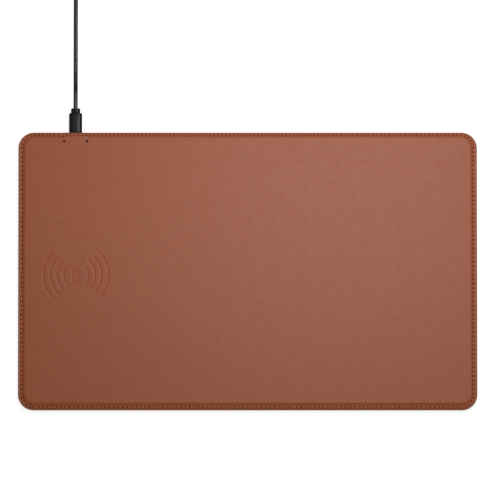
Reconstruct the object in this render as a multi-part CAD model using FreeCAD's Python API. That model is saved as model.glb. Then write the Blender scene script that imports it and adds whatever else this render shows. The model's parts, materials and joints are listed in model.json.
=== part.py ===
import FreeCAD, Part
import math
import os

# Desk pad with a built-in wireless charger and its USB lead, in millimetres.
# The origin is under the middle of the pad, on the desk. +X runs along the long side, +Y towards
# the back edge where the lead plugs in, +Z up.

Vector = FreeCAD.Vector

# ---------------------------------------------------------------- driving dimensions
# Pad
PAD_WIDTH = 350.0
PAD_DEPTH = 214.0
CORNER_RADIUS = 12.0
PAD_HEIGHT = 6.2

# Layers, from the desk up
BASE_THICK = 0.9
CORE_TOP = 4.5
FOAM_TOP = 5.3
HEM_TOP = 5.2

# Cuts run this far past the face they open
CUT_PAST = 1.0
EDGE_TOLERANCE = 0.01

# Hem and panel edge, measured in from the pad's outline
BASE_INSET = 0.3
CORE_INSET = 4.9
FOAM_TOP_INSET = 5.9
PANEL_FOOT_INSET = 3.2
PANEL_TOP_INSET = 5.5
HEM_ROUND = 1.2
SEAM_INSET = 2.4
THREAD_WIDTH = 0.6
THREAD_SUNK = 0.3
THREAD_PROUD = 0.1

# Port and lights
PORT_X = -131.4
PORT_Z = 3.525
LIGHT_SPREAD = 8.8
LIGHT_Y = 100.1
LIGHT_HOLE_RADIUS = 0.9
BULGE_HALF_FOOT = 9.8
BULGE_HALF_TOP = 7.6
BULGE_TOP = 6.1
BULGE_FRONT_Y = 99.0
BULGE_BACK_SLOPE = 0.8
BULGE_SEAM_GAP = 0.4

# Embossed charging mark
MARK_X = -131.1
MARK_Y = -3.3
MARK_TURN = 3.0
MARK_DEPTH = 0.2
ARC_RADII = (9.5, 14.6, 19.65, 24.9)
ARC_LINE = 1.3
ARC_HALF_ANGLE = 45.0
BATTERY_WIDTH = 5.9
BATTERY_HEIGHT = 9.9
BATTERY_LINE = 0.9
BATTERY_CAP_WIDTH = 1.9
BATTERY_CAP_HEIGHT = 1.4
BATTERY_BARS = 4
BAR_HALF_WIDTH = 1.4

# Circuit module, a shallow tray with a neck that reaches the port
TRAY_HALF_WIDTH = 15.0
TRAY_FRONT_Y = 77.7
TRAY_BACK_Y = 102.0
TRAY_FLOOR_TOP = 1.5
TRAY_TOP = 4.75
TRAY_WALL = 0.7
TRAY_BACK_WALL = 0.5
MODULE_LID_TOP = 5.2
NECK_HALF_WIDTH = 6.0
NECK_BACK_Y = 105.2
POCKET_GAP = 0.2
PORT_GAP = 0.1
WIRE_GATE_GAP = 0.4
BOARD_TOP = 2.3
BOARD_GAP = 0.2
BOARD_NECK_HALF_WIDTH = 4.6
BOARD_NECK_BACK_Y = 104.6

# Port frame and micro USB socket
BEZEL_HALF_WIDTH = 6.1
BEZEL_BACK_Y = 106.8
SOCKET_WIDTH = 7.5
SOCKET_HEIGHT = 2.45
SOCKET_WALL = 0.2
SOCKET_CORNER = 0.8
SOCKET_FRONT_Y = 101.0
SOCKET_MOUTH_Y = 106.4
SOCKET_CAVITY_Y = 102.3
TONGUE_HALF_WIDTH = 1.95
TONGUE_LOW = 3.5
TONGUE_HIGH = 4.0
TONGUE_TIP_Y = 105.4
CONTACT_PITCH = 0.65
CONTACT_WIDTH = 0.25
CONTACT_THICK = 0.15
CONTACT_COUNT = 5
CONTACT_TIP_GAP = 0.4
CONTACT_TAIL = 0.9

# Components: first place, columns and rows, pitches, and size with height
COMPONENTS = {
    "controller_chip": (-4.5, 91.5, 1, 1, 0.0, 0.0, (5.0, 5.0, 0.9)),
    "power_transistors": (5.2, 83.6, 2, 2, 4.4, 4.4, (3.3, 3.3, 0.8)),
    "resonant_capacitors": (-11.6, 83.2, 4, 1, 3.7, 0.0, (3.2, 2.5, 1.9)),
    "input_inductor": (9.8, 94.6, 1, 1, 0.0, 0.0, (4.2, 4.2, 2.0)),
    "ceramic_capacitors": (-11.8, 88.0, 2, 4, 2.4, 1.8, (1.6, 0.8, 0.8)),
    "chip_resistors": (0.6, 90.6, 3, 4, 1.8, 1.3, (1.0, 0.5, 0.35)),
    "status_lights": (-LIGHT_SPREAD, LIGHT_Y, 2, 1, 2 * LIGHT_SPREAD, 0.0, (1.6, 0.8, 0.6)),
}
PIPE_RADIUS = 0.75
PIPE_LOW = 3.0
PIPE_HIGH = 5.7
PIPE_FLANGE_HALF = 0.9
PIPE_FLANGE_THICK = 0.5

# Transmitter coil under the mark
COIL_RECESS_RADIUS = 26.0
COIL_RECESS_Z = 2.1
COIL_TAPE_TOP = 2.3
FERRITE_TOP = 3.1
FERRITE_RADIUS = 24.0
COIL_TOP = 4.3
COIL_INNER = 11.0
COIL_OUTER = 22.0
COIL_TURNS = 8
TURN_GROOVE = 0.2
WIRE_SLOT_HALF_WIDTH = 1.8
WIRE_SLOT_REACH = 2.0
WIRE_RADIUS = 0.4
SENSOR_WIRE_RADIUS = 0.25
SENSOR_RADIUS = 0.8
CHANNEL_HALF_WIDTH = 3.0
INNER_LEAD_X = PORT_X + 1.1
OUTER_LEAD_X = PORT_X + 2.1
BOARD_JOINT_Y = TRAY_FRONT_Y + 2.6
LEAD_END_GAP = 0.5
LEAD_LIFT = 0.05
LEAD_TOUCH = 0.1
LEAD_RISE_GAP = 2.0
SENSOR_X = PORT_X - 0.6
SENSOR_Y = MARK_Y + 1.0
SENSOR_WIRE_OFFSET = 0.3
TAPE_STARTS = (38.0, 60.0)
TAPE_LENGTH = 8.0
TAPE_LOW = 4.38
TAPE_HIGH = 4.48
TAPE_SIDE_GAP = 0.05

# Near plug
PLUG_WIDTH = 6.8
PLUG_HEIGHT = 1.75
PLUG_CORNER = 0.7
PLUG_INNER_CORNER = 0.6
PLUG_TIP_Y = 102.5
PLUG_ROOT_Y = 112.0
GRIP_WIDTH = 9.9
GRIP_HEIGHT = 6.5
GRIP_FRONT_Y = 107.5
GRIP_BACK_Y = 121.9
GRIP_ROUND = 2.2
GRIP_CHAMFER = 0.3
COLLAR_WIDTH = 6.9
COLLAR_HEIGHT = 5.6
COLLAR_BACK_Y = 125.7
COLLAR_ROUND = 2.4
INSERT_SLOT_GAP = 0.1
INSERT_SLOT_SIDE_GAP = 0.15
INSERT_SLOT_END_GAP = 0.3

# Cable and its coil
CABLE_DIAMETER = 3.3
CABLE_RADIUS = CABLE_DIAMETER / 2.0
CABLE_REST = CABLE_RADIUS + 0.01
TIE_THICK = 0.5
TIE_HALF_WIDTH = 2.5
TIE_ROUND = 0.45
TIE_GAP = 0.1
TIE_INNER_GAP = 0.4
COIL_LIFT = TIE_THICK
MEAN_TURN_RADIUS = 19.0
TURNS_PER_LAYER = 3.5
ENTRY_RADIUS = MEAN_TURN_RADIUS + TURNS_PER_LAYER / 2.0 * CABLE_DIAMETER
EXIT_RADIUS = MEAN_TURN_RADIUS + 2.0 * CABLE_DIAMETER
BUNDLE_OUTER = EXIT_RADIUS + CABLE_RADIUS
BUNDLE_INNER = MEAN_TURN_RADIUS - TURNS_PER_LAYER / 2.0 * CABLE_DIAMETER - CABLE_RADIUS
BUNDLE_X = PORT_X + ENTRY_RADIUS
BUNDLE_Y = 241.2
BUNDLE_HEIGHT = 2.0 * CABLE_DIAMETER
BUNDLE_ROUND = 0.8 * CABLE_RADIUS
TAIL_Z = COIL_LIFT + 1.5 * CABLE_DIAMETER

# Far plug, lying beside the coil
FAR_Y = BUNDLE_Y + EXIT_RADIUS
FAR_X = BUNDLE_X + 24.0
FAR_Z = 4.0
FAR_RELIEF_LENGTH = 11.0
FAR_GRIP_LENGTH = 22.0
FAR_GRIP_WIDTH = 15.6
FAR_GRIP_HEIGHT = 7.8
FAR_SLEEVE_LENGTH = 12.0
FAR_SLEEVE_WIDTH = 12.0
FAR_SLEEVE_HEIGHT = 4.5
FAR_SLEEVE_WALL = 0.3
FAR_SLEEVE_ROOT = 6.0
FAR_SLEEVE_ROUND = 0.4
FAR_GRIP_ROUND = 2.0
FAR_RELIEF_RADII = (CABLE_RADIUS + 0.6, 3.3)
FAR_INSERT_HEIGHT = 1.85
FAR_INSERT_BACK = 0.6
FAR_CONTACTS = 4
FAR_CONTACT_PITCH = 2.3
FAR_CONTACT_SIZE = (6.9, 1.0, 0.15)
FAR_CONTACT_BACK = 1.6

PAD_BACK_Y = PAD_DEPTH / 2.0

# The cable's route: level out of the collar, down to the desk, then straight to the coil.
CABLE_ROUTE = (
    (PORT_X, COLLAR_BACK_Y, PORT_Z),
    (PORT_X, 136.0, PORT_Z),
    (PORT_X, 152.0, CABLE_REST),
    (PORT_X, 229.8, CABLE_REST),
)

# The last stretch: off the top of the coil and down into the far plug.
TAIL_ROUTE = (
    (BUNDLE_X + 5.0, FAR_Y, TAIL_Z),
    (BUNDLE_X + 12.0, FAR_Y, TAIL_Z),
    (BUNDLE_X + 19.0, FAR_Y, FAR_Z),
    (FAR_X, FAR_Y, FAR_Z),
)


# ---------------------------------------------------------------- shape helpers
def box(x_low, x_high, y_low, y_high, z_low, z_high):
    """Block between two opposite corners."""
    corner = Vector(x_low, y_low, z_low)
    return Part.makeBox(x_high - x_low, y_high - y_low, z_high - z_low, corner)


def port_box(half_width, y_low, y_high, z_low, z_high):
    """Block centred on the port's centre plane."""
    return box(PORT_X - half_width, PORT_X + half_width, y_low, y_high, z_low, z_high)


def disc(x, y, radius, z_low, z_high):
    """Upright cylinder."""
    return Part.makeCylinder(radius, z_high - z_low, Vector(x, y, z_low))


def rounded_outline(half_x, half_y, radius, z):
    """Closed rectangle with round corners, centred on the Z axis at height z."""
    corners = ((1, 1), (-1, 1), (-1, -1), (1, -1))
    arcs = []
    for index, (side_x, side_y) in enumerate(corners):
        centre = Vector(side_x * (half_x - radius), side_y * (half_y - radius), z)
        points = []
        for step in (0, 45, 90):
            angle = math.radians(90 * index + step)
            points.append(centre + Vector(math.cos(angle), math.sin(angle), 0) * radius)
        arcs.append(Part.Arc(*points).toShape())
    edges = []
    for arc, following in zip(arcs, arcs[1:] + arcs[:1]):
        edges.append(arc)
        edges.append(Part.makeLine(arc.lastVertex().Point, following.firstVertex().Point))
    return Part.Wire(edges)


def pad_outline(inset, z):
    """The pad's outline at height z, drawn in from the edge by inset."""
    return rounded_outline(PAD_WIDTH / 2 - inset, PAD_DEPTH / 2 - inset, CORNER_RADIUS - inset, z)


def pad_slab(inset, z_low, z_high):
    """Slab with the pad's outline."""
    return Part.Face(pad_outline(inset, z_low)).extrude(Vector(0, 0, z_high - z_low))


def pad_slope(inset_low, z_low, inset_high, z_high):
    """Slab whose sides lean in from one inset to another."""
    return Part.makeLoft([pad_outline(inset_low, z_low), pad_outline(inset_high, z_high)], True, True)


def pad_ring(inset, width, z_low, z_high):
    """Band that runs all round the pad, centred on a line inset from the edge."""
    outside = pad_slab(inset - width / 2, z_low, z_high)
    return outside.cut(pad_slab(inset + width / 2, z_low, z_high))


def rounded_block(x_low, x_high, y_low, y_high, z_low, z_high, radius, along):
    """Block with its four edges along one axis rounded."""
    block = box(x_low, x_high, y_low, y_high, z_low, z_high)
    edges = [edge for edge in block.Edges if abs(edge.tangentAt(0).dot(along)) > 0.99]
    return block.makeFillet(radius, edges)


def socket_prism(width, height, corner, z_centre, y_low, y_high):
    """Micro USB section, a rectangle with its two lower corners cut off, drawn out along Y."""
    half = width / 2
    low = z_centre - height / 2
    high = z_centre + height / 2
    section = (
        (-half + corner, low),
        (half - corner, low),
        (half, low + corner),
        (half, high),
        (-half, high),
        (-half, low + corner),
        (-half + corner, low),
    )
    wire = Part.makePolygon([Vector(PORT_X + x, y_low, z) for x, z in section])
    return Part.Face(wire).extrude(Vector(0, y_high - y_low, 0))


def contact_strips(y_low, y_high, z_low, z_high):
    """Row of flat contacts across the port."""
    strips = []
    for index in range(CONTACT_COUNT):
        x = PORT_X + (index - (CONTACT_COUNT - 1) / 2) * CONTACT_PITCH
        half = CONTACT_WIDTH / 2
        strips.append(box(x - half, x + half, y_low, y_high, z_low, z_high))
    return strips


def wire_along(points, radius):
    """Round wire through a few points, with ball joints where it turns."""
    pieces = []
    for start, end in zip(points, points[1:]):
        step = end - start
        pieces.append(Part.makeCylinder(radius, step.Length, start, step))
    for joint in points[1:-1]:
        pieces.append(Part.makeSphere(radius, joint))
    return pieces[0].multiFuse(pieces[1:]).removeSplitter()


def cable_tube(name, route):
    """Cable along straight runs joined by tangent arcs as large as the runs allow."""
    points = [Vector(*point) for point in route]
    edges = []
    radii = []
    start = points[0]
    for before, corner, after in zip(points, points[1:], points[2:]):
        run_in = corner - before
        run_out = after - corner
        half_turn = run_in.getAngle(run_out) / 2
        reach = 0.45 * min(run_in.Length, run_out.Length)
        radius = reach / math.tan(half_turn)
        arc_start = corner - run_in.normalize() * reach
        arc_end = corner + run_out.normalize() * reach
        inward = (arc_start + arc_end) * 0.5 - corner
        inward.normalize()
        middle = corner + inward * (radius / math.cos(half_turn) - radius)
        edges.append(Part.LineSegment(start, arc_start).toShape())
        edges.append(Part.Arc(arc_start, middle, arc_end).toShape())
        radii.append(round(radius, 1))
        start = arc_end
    edges.append(Part.LineSegment(start, points[-1]).toShape())
    path = Part.Wire(edges)
    direction = points[1] - points[0]
    section = Part.Wire(Part.makeCircle(CABLE_RADIUS, points[0], direction))
    tube = path.makePipeShell([section], True, False)
    expected = math.pi * CABLE_RADIUS ** 2 * path.Length
    print(name, "arc radii", radii, "length", round(path.Length, 2),
          "volume / (section x length)", round(tube.Volume / expected, 5))
    return tube


def save(name, shapes):
    """Write one node, made of one or more separate solids."""
    solids = []
    for shape in shapes:
        solids.extend(shape.Solids)
    for solid in solids:
        if not solid.isValid():
            raise ValueError("bad solid in " + name)
    if len(solids) == 1:
        node = solids[0]
    else:
        node = Part.makeCompound(solids)
    node.exportStep("parts/" + name + ".step")
    print(name, len(solids), "solids", round(node.Volume, 2), "mm3")


# ---------------------------------------------------------------- the pad's layers
def port_bulge():
    """Raised part of the hem over the port."""
    low = HEM_TOP - HEM_ROUND
    wires = []
    for half_width, back_y, z in (
        (BULGE_HALF_FOOT, PAD_BACK_Y, low),
        (BULGE_HALF_TOP, PAD_BACK_Y - BULGE_BACK_SLOPE, BULGE_TOP),
    ):
        corners = (
            (PORT_X - half_width, BULGE_FRONT_Y),
            (PORT_X + half_width, BULGE_FRONT_Y),
            (PORT_X + half_width, back_y),
            (PORT_X - half_width, back_y),
            (PORT_X - half_width, BULGE_FRONT_Y),
        )
        wires.append(Part.makePolygon([Vector(x, y, z) for x, y in corners]))
    bulge = Part.makeLoft(wires, True, True)
    return bulge.common(pad_slab(0.0, low, PAD_HEIGHT))


def mark_grooves():
    """Grooves of the charging mark: four arcs each side of a battery outline."""
    low = PAD_HEIGHT - MARK_DEPTH
    high = PAD_HEIGHT + CUT_PAST
    grooves = []
    for side in (0.0, 180.0):
        for radius in ARC_RADII:
            outer = Part.makeCylinder(radius + ARC_LINE / 2, high - low, Vector(0, 0, low),
                                      Vector(0, 0, 1), 2 * ARC_HALF_ANGLE)
            band = outer.cut(disc(0, 0, radius - ARC_LINE / 2, low, high))
            band.rotate(Vector(0, 0, 0), Vector(0, 0, 1), side - ARC_HALF_ANGLE)
            grooves.append(band)
    half_w = BATTERY_WIDTH / 2
    half_h = BATTERY_HEIGHT / 2
    outline = box(-half_w, half_w, -half_h, half_h, low, high)
    inside = box(-half_w + BATTERY_LINE, half_w - BATTERY_LINE,
                 -half_h + BATTERY_LINE, half_h - BATTERY_LINE, low, high)
    grooves.append(outline.cut(inside))
    grooves.append(box(-BATTERY_CAP_WIDTH / 2, BATTERY_CAP_WIDTH / 2,
                       half_h, half_h + BATTERY_CAP_HEIGHT, low, high))
    bar_pitch = (BATTERY_HEIGHT - 2 * BATTERY_LINE) / (BATTERY_BARS + 1)
    bar_half_height = bar_pitch / 4
    for index in range(BATTERY_BARS):
        y = -half_h + BATTERY_LINE + bar_pitch * (index + 1)
        grooves.append(box(-BAR_HALF_WIDTH, BAR_HALF_WIDTH,
                           y - bar_half_height, y + bar_half_height, low, high))
    mark = Part.makeCompound(grooves)
    mark.rotate(Vector(0, 0, 0), Vector(0, 0, 1), MARK_TURN)
    mark.translate(Vector(MARK_X, MARK_Y, 0))
    return mark


def light_positions():
    """Centres of the two light holes."""
    return ((PORT_X - LIGHT_SPREAD, LIGHT_Y), (PORT_X + LIGHT_SPREAD, LIGHT_Y))


def bulge_seam(z_low, z_high):
    """The seam's stretch over the port bulge."""
    seam_y = PAD_BACK_Y - SEAM_INSET
    half = THREAD_WIDTH / 2
    return port_box(BULGE_HALF_TOP - BULGE_SEAM_GAP, seam_y - half, seam_y + half, z_low, z_high)


def make_top_cover():
    hem = pad_slab(0.0, BASE_THICK, HEM_TOP)
    top_edges = [edge for edge in hem.Edges
                 if min(v.Point.z for v in edge.Vertexes) > HEM_TOP - EDGE_TOLERANCE]
    hem = hem.makeFillet(HEM_ROUND, top_edges)
    panel = pad_slope(PANEL_FOOT_INSET, HEM_TOP, PANEL_TOP_INSET, PAD_HEIGHT)
    cover = hem.multiFuse([panel, port_bulge()])
    inside = pad_slab(CORE_INSET, BASE_THICK, CORE_TOP)
    inside = inside.fuse(pad_slope(CORE_INSET, CORE_TOP, FOAM_TOP_INSET, FOAM_TOP))
    module_room = port_box(TRAY_HALF_WIDTH + POCKET_GAP, TRAY_FRONT_Y, TRAY_BACK_Y + PORT_GAP,
                           BASE_THICK, FOAM_TOP)
    port_slot = port_box(BEZEL_HALF_WIDTH + PORT_GAP, TRAY_BACK_Y, PAD_BACK_Y + CUT_PAST,
                         BASE_THICK, MODULE_LID_TOP)
    seam = pad_ring(SEAM_INSET, THREAD_WIDTH, HEM_TOP - THREAD_SUNK, HEM_TOP)
    seam = seam.cut(port_box(BULGE_HALF_FOOT, BULGE_FRONT_Y, PAD_BACK_Y, 0, PAD_HEIGHT))
    cuts = [inside, module_room, port_slot, seam,
            bulge_seam(BULGE_TOP - THREAD_SUNK, BULGE_TOP), mark_grooves()]
    for x, y in light_positions():
        cuts.append(disc(x, y, LIGHT_HOLE_RADIUS, FOAM_TOP, PAD_HEIGHT + CUT_PAST))
    save("top_cover", [cover.cut(cuts)])


def make_stitching():
    top = pad_ring(SEAM_INSET, THREAD_WIDTH, HEM_TOP - THREAD_SUNK, HEM_TOP + THREAD_PROUD)
    top = top.cut(port_box(BULGE_HALF_FOOT, BULGE_FRONT_Y, PAD_BACK_Y, 0, PAD_HEIGHT))
    over_port = bulge_seam(BULGE_TOP - THREAD_SUNK, BULGE_TOP + THREAD_PROUD)
    save("top_stitching", [top, over_port])
    bottom = pad_ring(SEAM_INSET, THREAD_WIDTH, THREAD_PROUD, THREAD_PROUD + THREAD_SUNK)
    save("bottom_stitching", [bottom])


def make_base_sheet():
    sheet = pad_slab(BASE_INSET, 0.0, BASE_THICK)
    groove = pad_ring(SEAM_INSET, THREAD_WIDTH, 0.0, THREAD_PROUD + THREAD_SUNK)
    save("base_sheet", [sheet.cut(groove)])


def make_core_board():
    board = pad_slab(CORE_INSET, BASE_THICK, CORE_TOP)
    pocket = port_box(TRAY_HALF_WIDTH + POCKET_GAP, TRAY_FRONT_Y - POCKET_GAP, PAD_BACK_Y,
                      BASE_THICK, CORE_TOP)
    channel = port_box(CHANNEL_HALF_WIDTH, MARK_Y, TRAY_FRONT_Y, COIL_RECESS_Z, CORE_TOP)
    recess = disc(MARK_X, MARK_Y, COIL_RECESS_RADIUS, COIL_RECESS_Z, CORE_TOP)
    save("core_board", [board.cut([pocket, channel, recess])])


def make_foam_layer():
    foam = pad_slope(CORE_INSET, CORE_TOP, FOAM_TOP_INSET, FOAM_TOP)
    module_room = port_box(TRAY_HALF_WIDTH + POCKET_GAP, TRAY_FRONT_Y - POCKET_GAP, PAD_BACK_Y,
                           CORE_TOP, FOAM_TOP)
    save("foam_layer", [foam.cut(module_room)])


# ---------------------------------------------------------------- the circuit module
def neck_and_body(z_low, z_high):
    """Module outline: a square body with a neck that reaches the port frame."""
    body = port_box(TRAY_HALF_WIDTH, TRAY_FRONT_Y, TRAY_BACK_Y, z_low, z_high)
    neck = port_box(NECK_HALF_WIDTH, TRAY_BACK_Y, NECK_BACK_Y, z_low, z_high)
    return body.fuse(neck).removeSplitter()


def make_module_tray():
    tray = neck_and_body(BASE_THICK, TRAY_TOP)
    inner_front = TRAY_FRONT_Y + TRAY_WALL
    inner_back = TRAY_BACK_Y - TRAY_BACK_WALL
    hollow = port_box(TRAY_HALF_WIDTH - TRAY_WALL, inner_front, inner_back,
                      TRAY_FLOOR_TOP, TRAY_TOP)
    neck_hollow = port_box(NECK_HALF_WIDTH - TRAY_WALL, inner_back, NECK_BACK_Y,
                           TRAY_FLOOR_TOP, TRAY_TOP)
    wire_gate = port_box(CHANNEL_HALF_WIDTH - WIRE_GATE_GAP, TRAY_FRONT_Y, inner_front,
                         BOARD_TOP - PORT_GAP, TRAY_TOP)
    save("module_tray", [tray.cut([hollow, neck_hollow, wire_gate])])


def make_module_lid():
    lid = neck_and_body(TRAY_TOP, MODULE_LID_TOP)
    holes = [disc(x, y, LIGHT_HOLE_RADIUS, TRAY_TOP, MODULE_LID_TOP) for x, y in light_positions()]
    save("module_lid", [lid.cut(holes)])


def make_port_bezel():
    frame = port_box(BEZEL_HALF_WIDTH, NECK_BACK_Y, BEZEL_BACK_Y, BASE_THICK, MODULE_LID_TOP)
    hole = socket_prism(SOCKET_WIDTH + 2 * PORT_GAP, SOCKET_HEIGHT + 2 * PORT_GAP, SOCKET_CORNER,
                        PORT_Z, NECK_BACK_Y, BEZEL_BACK_Y)
    save("port_bezel", [frame.cut(hole)])


def make_main_board():
    inner_front = TRAY_FRONT_Y + TRAY_WALL + BOARD_GAP
    inner_back = TRAY_BACK_Y - TRAY_BACK_WALL - BOARD_GAP
    body = port_box(TRAY_HALF_WIDTH - TRAY_WALL - BOARD_GAP, inner_front, inner_back,
                    TRAY_FLOOR_TOP, BOARD_TOP)
    neck = port_box(BOARD_NECK_HALF_WIDTH, inner_back, BOARD_NECK_BACK_Y,
                    TRAY_FLOOR_TOP, BOARD_TOP)
    save("main_board", [body.fuse(neck).removeSplitter()])


def board_parts(first_x, first_y, columns, rows, pitch_x, pitch_y, size):
    """Equal components in rows and columns on the board. first_x is measured from the port."""
    size_x, size_y, height = size
    parts = []
    for row in range(rows):
        for column in range(columns):
            x = PORT_X + first_x + column * pitch_x
            y = first_y + row * pitch_y
            parts.append(box(x - size_x / 2, x + size_x / 2, y - size_y / 2, y + size_y / 2,
                             BOARD_TOP, BOARD_TOP + height))
    return parts


def make_circuit():
    for name, layout in COMPONENTS.items():
        save(name, board_parts(*layout))


def make_light_pipes():
    """Two clear rods, each with a flange under the lid, ending just below the cover's face."""
    pipes = []
    half = PIPE_FLANGE_HALF
    for x, y in light_positions():
        rod = disc(x, y, PIPE_RADIUS, PIPE_LOW, PIPE_HIGH)
        flange = box(x - half, x + half, y - half, y + half, TRAY_TOP - PIPE_FLANGE_THICK, TRAY_TOP)
        pipes.append(rod.fuse(flange).removeSplitter())
    save("light_pipes", pipes)


def make_socket():
    outer = socket_prism(SOCKET_WIDTH, SOCKET_HEIGHT, SOCKET_CORNER, PORT_Z,
                         SOCKET_FRONT_Y, SOCKET_MOUTH_Y)
    inner = socket_prism(SOCKET_WIDTH - 2 * SOCKET_WALL, SOCKET_HEIGHT - 2 * SOCKET_WALL,
                         SOCKET_CORNER, PORT_Z, SOCKET_FRONT_Y + SOCKET_WALL, SOCKET_MOUTH_Y)
    save("socket_shell", [outer.cut(inner)])
    block = socket_prism(SOCKET_WIDTH - 2 * SOCKET_WALL, SOCKET_HEIGHT - 2 * SOCKET_WALL,
                         SOCKET_CORNER, PORT_Z, SOCKET_FRONT_Y + SOCKET_WALL, SOCKET_CAVITY_Y)
    tongue = port_box(TONGUE_HALF_WIDTH, SOCKET_CAVITY_Y, TONGUE_TIP_Y, TONGUE_LOW, TONGUE_HIGH)
    save("socket_tongue", [block.fuse(tongue).removeSplitter()])
    contacts = contact_strips(SOCKET_CAVITY_Y, TONGUE_TIP_Y - CONTACT_TIP_GAP,
                              TONGUE_LOW - CONTACT_THICK, TONGUE_LOW)
    tails = contact_strips(SOCKET_FRONT_Y - CONTACT_TAIL, SOCKET_FRONT_Y, BOARD_TOP,
                           BOARD_TOP + CONTACT_THICK)
    save("socket_contacts", contacts + tails)


# ---------------------------------------------------------------- the transmitter
def make_transmitter():
    tape = disc(MARK_X, MARK_Y, FERRITE_RADIUS, COIL_RECESS_Z, COIL_TAPE_TOP)
    save("coil_tape", [tape])
    ferrite = disc(MARK_X, MARK_Y, FERRITE_RADIUS, COIL_TAPE_TOP, FERRITE_TOP)
    slot = port_box(WIRE_SLOT_HALF_WIDTH, MARK_Y - WIRE_SLOT_REACH,
                    MARK_Y + FERRITE_RADIUS + CUT_PAST, COIL_TAPE_TOP, FERRITE_TOP)
    save("ferrite_plate", [ferrite.cut(slot)])
    turn_width = (COIL_OUTER - COIL_INNER) / COIL_TURNS
    profile = [Vector(COIL_INNER, 0, FERRITE_TOP), Vector(COIL_OUTER, 0, FERRITE_TOP)]
    for turn in range(COIL_TURNS, 0, -1):
        outer = COIL_INNER + turn * turn_width
        inner = outer - turn_width
        profile.append(Vector(outer, 0, COIL_TOP - TURN_GROOVE))
        profile.append(Vector(outer - TURN_GROOVE, 0, COIL_TOP))
        profile.append(Vector(inner + TURN_GROOVE, 0, COIL_TOP))
    profile.append(Vector(COIL_INNER, 0, COIL_TOP - TURN_GROOVE))
    profile.append(profile[0])
    winding = Part.Face(Part.makePolygon(profile))
    coil = winding.revolve(Vector(0, 0, 0), Vector(0, 0, 1), 360)
    coil.translate(Vector(MARK_X, MARK_Y, 0))
    save("transmitter_coil", [coil])


def make_wiring():
    low_z = BOARD_TOP + WIRE_RADIUS
    high_z = FERRITE_TOP + WIRE_RADIUS + LEAD_LIFT
    coil_edge = MARK_Y + math.sqrt(COIL_OUTER ** 2 - (OUTER_LEAD_X - MARK_X) ** 2)
    rise_y = MARK_Y + FERRITE_RADIUS + LEAD_RISE_GAP
    inner = wire_along([Vector(INNER_LEAD_X, BOARD_JOINT_Y, low_z),
                        Vector(INNER_LEAD_X, MARK_Y + COIL_INNER + LEAD_END_GAP, low_z)], WIRE_RADIUS)
    outer = wire_along([Vector(OUTER_LEAD_X, BOARD_JOINT_Y, low_z),
                        Vector(OUTER_LEAD_X, rise_y, high_z),
                        Vector(OUTER_LEAD_X, coil_edge + LEAD_TOUCH, high_z)], WIRE_RADIUS)
    save("coil_leads", [inner, outer])
    bead_centre = Vector(SENSOR_X, SENSOR_Y, COIL_TAPE_TOP + SENSOR_RADIUS)
    save("coil_thermistor", [Part.makeSphere(SENSOR_RADIUS, bead_centre)])
    sensor_wires = []
    for x in (SENSOR_X - SENSOR_WIRE_OFFSET, SENSOR_X + SENSOR_WIRE_OFFSET):
        z = BOARD_TOP + SENSOR_WIRE_RADIUS
        start = Vector(x, SENSOR_Y + SENSOR_RADIUS, z)
        end = Vector(x, BOARD_JOINT_Y, z)
        sensor_wires.append(wire_along([start, end], SENSOR_WIRE_RADIUS))
    save("thermistor_leads", sensor_wires)
    half = CHANNEL_HALF_WIDTH - TAPE_SIDE_GAP
    strips = [port_box(half, y, y + TAPE_LENGTH, TAPE_LOW, TAPE_HIGH) for y in TAPE_STARTS]
    save("lead_tape", strips)


# ---------------------------------------------------------------- the lead
def make_near_plug():
    inner_width = PLUG_WIDTH - 2 * SOCKET_WALL
    inner_height = PLUG_HEIGHT - 2 * SOCKET_WALL
    outer = socket_prism(PLUG_WIDTH, PLUG_HEIGHT, PLUG_CORNER, PORT_Z, PLUG_TIP_Y, PLUG_ROOT_Y)
    inner = socket_prism(inner_width, inner_height, PLUG_INNER_CORNER, PORT_Z,
                         PLUG_TIP_Y, PLUG_ROOT_Y)
    save("plug_sleeve", [outer.cut(inner)])
    slot_floor = TONGUE_LOW - 2 * CONTACT_THICK - INSERT_SLOT_GAP
    slot_end = TONGUE_TIP_Y + INSERT_SLOT_END_GAP
    slot = port_box(TONGUE_HALF_WIDTH + INSERT_SLOT_SIDE_GAP, PLUG_TIP_Y, slot_end,
                    slot_floor, TONGUE_HIGH + INSERT_SLOT_GAP)
    save("plug_insert", [inner.cut(slot)])
    save("plug_contacts", contact_strips(PLUG_TIP_Y + INSERT_SLOT_END_GAP, slot_end - INSERT_SLOT_GAP,
                                         slot_floor, slot_floor + CONTACT_THICK))
    half = GRIP_WIDTH / 2
    grip = rounded_block(PORT_X - half, PORT_X + half, GRIP_FRONT_Y, GRIP_BACK_Y,
                         PORT_Z - GRIP_HEIGHT / 2, PORT_Z + GRIP_HEIGHT / 2, GRIP_ROUND,
                         Vector(0, 1, 0))
    back_edges = [edge for edge in grip.Edges
                  if min(v.Point.y for v in edge.Vertexes) > GRIP_BACK_Y - EDGE_TOLERANCE]
    grip = grip.makeChamfer(GRIP_CHAMFER, back_edges)
    save("plug_grip", [grip.cut(outer.fuse(inner))])
    half = COLLAR_WIDTH / 2
    collar = rounded_block(PORT_X - half, PORT_X + half, GRIP_BACK_Y, COLLAR_BACK_Y,
                           PORT_Z - COLLAR_HEIGHT / 2, PORT_Z + COLLAR_HEIGHT / 2, COLLAR_ROUND,
                           Vector(0, 1, 0))
    save("plug_collar", [collar])


def make_cable():
    save("lead_cable", [cable_tube("lead_cable", CABLE_ROUTE)])
    save("lead_tail", [cable_tube("lead_tail", TAIL_ROUTE)])
    top = COIL_LIFT + BUNDLE_HEIGHT
    bundle = disc(BUNDLE_X, BUNDLE_Y, BUNDLE_OUTER, COIL_LIFT, top)
    bundle = bundle.cut(disc(BUNDLE_X, BUNDLE_Y, BUNDLE_INNER, COIL_LIFT, top))
    bundle = bundle.makeFillet(BUNDLE_ROUND, bundle.Edges)
    save("lead_coil", [bundle])


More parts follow.
